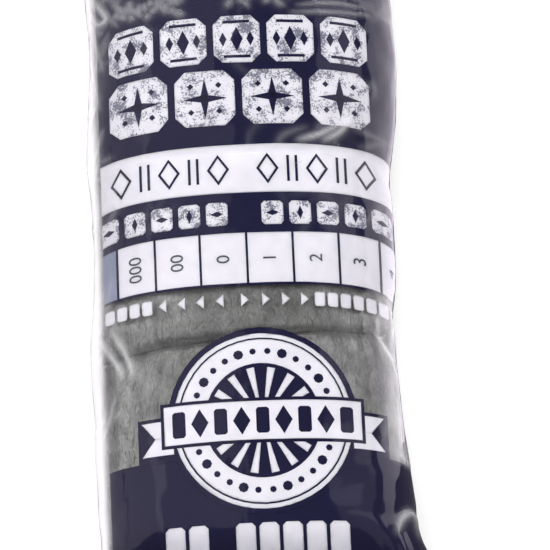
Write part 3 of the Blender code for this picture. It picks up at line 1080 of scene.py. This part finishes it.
# Distance from the middle and turn of each corner of a ray
RAY = ((0.0042, -0.07), (0.0182, -0.075), (0.0182, 0.075), (0.0042, 0.07))
RAY_LAYER = 6
DOTS = 30
DOT_RING = 0.0237
SMALL_DOT, LARGE_DOT = 0.0011, 0.0017
DOT_SIDES = 8
DOT_CLEARANCE = 0.002
DOT_LAYER = 5
RIBBON_HALF = 0.0330
RIBBON_HIGH = 0.0066
RIBBON_RIM = 0.0011
RIM_LAYER, RIBBON_LAYER, MARK_LAYER = 7.6, 8.2, 8.8
RIBBON_MARKS = 9
RIBBON_PITCH = 0.0070
RIBBON_LOZENGE = (0.0029, 0.0048)
RIBBON_BAR = (0.0022, 0.0044, 0.0007)
TAIL_START, TAIL_END = 0.0290, 0.0420
TAIL_DROP = (0.0056, 0.0034)
WHITE_TAIL_START = 0.0300
WHITE_TAIL_DROP = (0.0030, 0.0046)
TAIL_RIM = 0.0013
FORK_DEPTH = 0.0058
TAIL_LAYER, NOTCH_LAYER = 6, 7
left, right = SEAL_X - SEAL_REACH[0], SEAL_X + SEAL_REACH[0]
seal_panel = panel_of(left, right, SEAL_Y - SEAL_REACH[1], SEAL_Y + SEAL_REACH[1])
seal_navy, seal_white = [], []
for level, radius in enumerate(RING_RADII, 1):
    ring = patch(disc(SEAL_X, SEAL_Y, radius), level, seal_panel)
    (seal_navy if level % 2 else seal_white).append(ring)
for i in range(RAYS):
    turn = 2 * math.pi * (i + 0.5) / RAYS
    outline = [(SEAL_X + r * math.cos(turn + t), SEAL_Y + r * math.sin(turn + t)) for r, t in RAY]
    seal_white.append(patch(outline, RAY_LAYER, seal_panel))
for i in range(DOTS):
    turn = 2 * math.pi * i / DOTS
    x, y = SEAL_X + DOT_RING * math.cos(turn), SEAL_Y + DOT_RING * math.sin(turn)
    if abs(y - SEAL_Y) > RIBBON_HIGH + DOT_CLEARANCE:
        dot = disc(x, y, SMALL_DOT if i % 3 else LARGE_DOT, DOT_SIDES)
        seal_navy.append(patch(dot, DOT_LAYER, seal_panel))
bottom, top = SEAL_Y - RIBBON_HIGH, SEAL_Y + RIBBON_HIGH
for side in (-1, 1):
    inner, outer = sorted((SEAL_X + side * TAIL_START, SEAL_X + side * TAIL_END))
    tail = rectangle(inner, outer, bottom - TAIL_DROP[0], top - TAIL_DROP[1])
    seal_navy.append(patch(tail, TAIL_LAYER, seal_panel))
    low, high = bottom - WHITE_TAIL_DROP[0], top - WHITE_TAIL_DROP[1]
    near, far = SEAL_X + side * WHITE_TAIL_START, SEAL_X + side * (TAIL_END - TAIL_RIM)
    fork = (SEAL_X + side * (TAIL_END - FORK_DEPTH), (low + high) / 2)
    upper = [(near, fork[1]), fork, (far, high), (near, high)]
    lower = [(near, low), (far, low), fork, (near, fork[1])]
    if side < 0:
        upper, lower = upper[::-1], lower[::-1]
    seal_white.append(patch(upper, NOTCH_LAYER, seal_panel))
    seal_white.append(patch(lower, NOTCH_LAYER, seal_panel))
left, right = SEAL_X - RIBBON_HALF, SEAL_X + RIBBON_HALF
rimmed = rectangle(left - RIBBON_RIM, right + RIBBON_RIM, bottom - RIBBON_RIM, top + RIBBON_RIM)
seal_navy.append(patch(rimmed, RIM_LAYER, seal_panel))
seal_white.append(patch(rectangle(left, right, bottom, top), RIBBON_LAYER, seal_panel))
for i in range(RIBBON_MARKS):
    x = SEAL_X + (i - RIBBON_MARKS // 2) * RIBBON_PITCH
    shape = lozenge(x, SEAL_Y, *RIBBON_LOZENGE) if i % 2 else plate(x, SEAL_Y, *RIBBON_BAR)
    seal_navy.append(patch(shape, MARK_LAYER, seal_panel))

# Blocks on the lower field
# One row of plain white blocks with a gap in it crosses the lower navy field, where the end
# of the pack begins to turn down; they are in the same white ink as the marks of the scale.
LOW_ROW_FIRST = -0.0270
LOW_ROW_MIDDLE = -0.1355
LOW_ROW_PITCH = 0.0078
LOW_BLOCKS = 8
LOW_GAP = 2
LOW_BLOCK = (0.0033, 0.0070, 0.0012)
LOW_PANEL = (-0.045, 0.045, -0.145, -0.126)
low_panel = panel_of(*LOW_PANEL)
for i in range(LOW_BLOCKS):
    if i != LOW_GAP:
        x = LOW_ROW_FIRST + i * LOW_ROW_PITCH
        marks.append(patch(plate(x, LOW_ROW_MIDDLE, *LOW_BLOCK), PLATE_LAYER, low_panel))

join_print("print_worn_plates", worn_plates, worn_ink)
join_print("print_piercings", piercings + ring_navy + lines, navy_ink)
join_print("print_white_marks", marks + ring_white, white_ink)
join_print("print_seal_navy", seal_navy, navy_ink)
join_print("print_seal_white", seal_white, white_ink)
for scrap in panels + [front]:
    bpy.data.objects.remove(scrap)

# Floor, light and camera
# A plain pale floor that gives off a little light and isn't seen in gloss. The soft boxes at
# both sides and behind, and the two low cards beside the pack, are seen in its gloss; the fill
# lights aren't.
FLOOR_SIZE = 6.0
FLOOR_COLOUR = (0.93, 0.93, 0.93, 1)
FLOOR_ROUGHNESS = 0.8
FLOOR_GLOW = 0.22
ROOM_GLOW = 0.12
PLAIN_WHITE = (1, 1, 1, 1)
bpy.ops.object.select_all(action="DESELECT")
bpy.ops.mesh.primitive_plane_add(size=FLOOR_SIZE, location=(0, 0, 0))
floor = bpy.context.object
floor.name = "floor"
floor_material, _, floor_shader, _ = new_material("pale_floor")
floor_shader.inputs["Base Color"].default_value = FLOOR_COLOUR
floor_shader.inputs["Roughness"].default_value = FLOOR_ROUGHNESS
floor_shader.inputs["Emission Color"].default_value = PLAIN_WHITE
floor_shader.inputs["Emission Strength"].default_value = FLOOR_GLOW
floor.data.materials.append(floor_material)
floor.visible_glossy = False


def soft_box(name, place, tilt, lean, size, radiance, seen_in_gloss):
    """A rectangular area lamp, turned from facing straight down: tilt about X, then lean about Y."""
    data = bpy.data.lights.new(name, "AREA")
    data.shape = "RECTANGLE"
    data.size, data.size_y = size
    data.energy = radiance * math.pi * size[0] * size[1]
    lamp = bpy.data.objects.new(name, data)
    bpy.context.scene.collection.objects.link(lamp)
    lamp.location = place
    lamp.rotation_euler = (math.radians(tilt), math.radians(lean), 0)
    lamp.visible_glossy = seen_in_gloss
    lamp.visible_camera = False


soft_box("left_box", (-0.97, 0.40, 1.27), 0, 0, (1.8, 1.5), 0.41, True)
soft_box("left_side_box", (-1.50, 0.30, 0.55), 0, -62, (1.2, 1.5), 0.62, True)
soft_box("right_box", (1.08, 0.40, 0.70), 0, 57, (0.95, 1.5), 0.30, True)
soft_box("right_back_box", (1.00, 0.97, 0.66), 0, 57, (0.95, 1.5), 0.45, True)
soft_box("right_card", (0.66, 0.56, 0.002), 180, 0, (1.2, 1.29), 1.2, True)
soft_box("left_card", (-0.66, 0.40, 0.002), 180, 0, (1.2, 1.3), 0.6, True)
soft_box("back_box", (0.20, 1.25, 1.20), -46, 0, (1.8, 0.3), 2.0, True)
soft_box("fill_left", (-1.30, -0.10, 0.60), 0, -65, (1.0, 1.5), 1.8, False)
soft_box("fill_right", (1.30, -0.10, 0.60), 0, 65, (1.0, 1.5), 2.0, False)
soft_box("fill_front", (0.0, -1.30, 0.90), 55, 0, (1.2, 0.9), 1.2, False)
soft_box("fill_above", (0.0, 0.20, 1.90), 0, 0, (1.6, 1.6), 3.5, False)

world = bpy.data.worlds.new("studio")
bpy.context.scene.world = world
world.use_nodes = True
world.node_tree.nodes["Background"].inputs["Color"].default_value = PLAIN_WHITE
world.node_tree.nodes["Background"].inputs["Strength"].default_value = ROOM_GLOW
bpy.context.scene.view_settings.view_transform = "Standard"

ELEVATION = math.radians(75)
ROLL = math.radians(2.6)
DISTANCE = 1.2
AIM = Vector((0.0098, -0.0445, 0.0736))
FOCAL_PIXELS = 3576
PICTURE_PIXELS = 550
SENSOR = 36
FARTHEST = 10
camera = bpy.data.objects.new("camera", bpy.data.cameras.new("camera"))
bpy.context.scene.collection.objects.link(camera)
camera.data.sensor_width = SENSOR
camera.data.lens = SENSOR * FOCAL_PIXELS / PICTURE_PIXELS
camera.data.clip_end = FARTHEST
back = Vector((0, -math.cos(ELEVATION), math.sin(ELEVATION)))
camera.location = AIM + back * DISTANCE
level = Vector((1, 0, 0))
lift = back.cross(level)
right = level * math.cos(ROLL) - lift * math.sin(ROLL)
upward = level * math.sin(ROLL) + lift * math.cos(ROLL)
rows = [[right[i], upward[i], back[i], camera.location[i]] for i in range(3)] + [[0, 0, 0, 1]]
camera.matrix_world = Matrix(rows)
bpy.context.scene.camera = camera
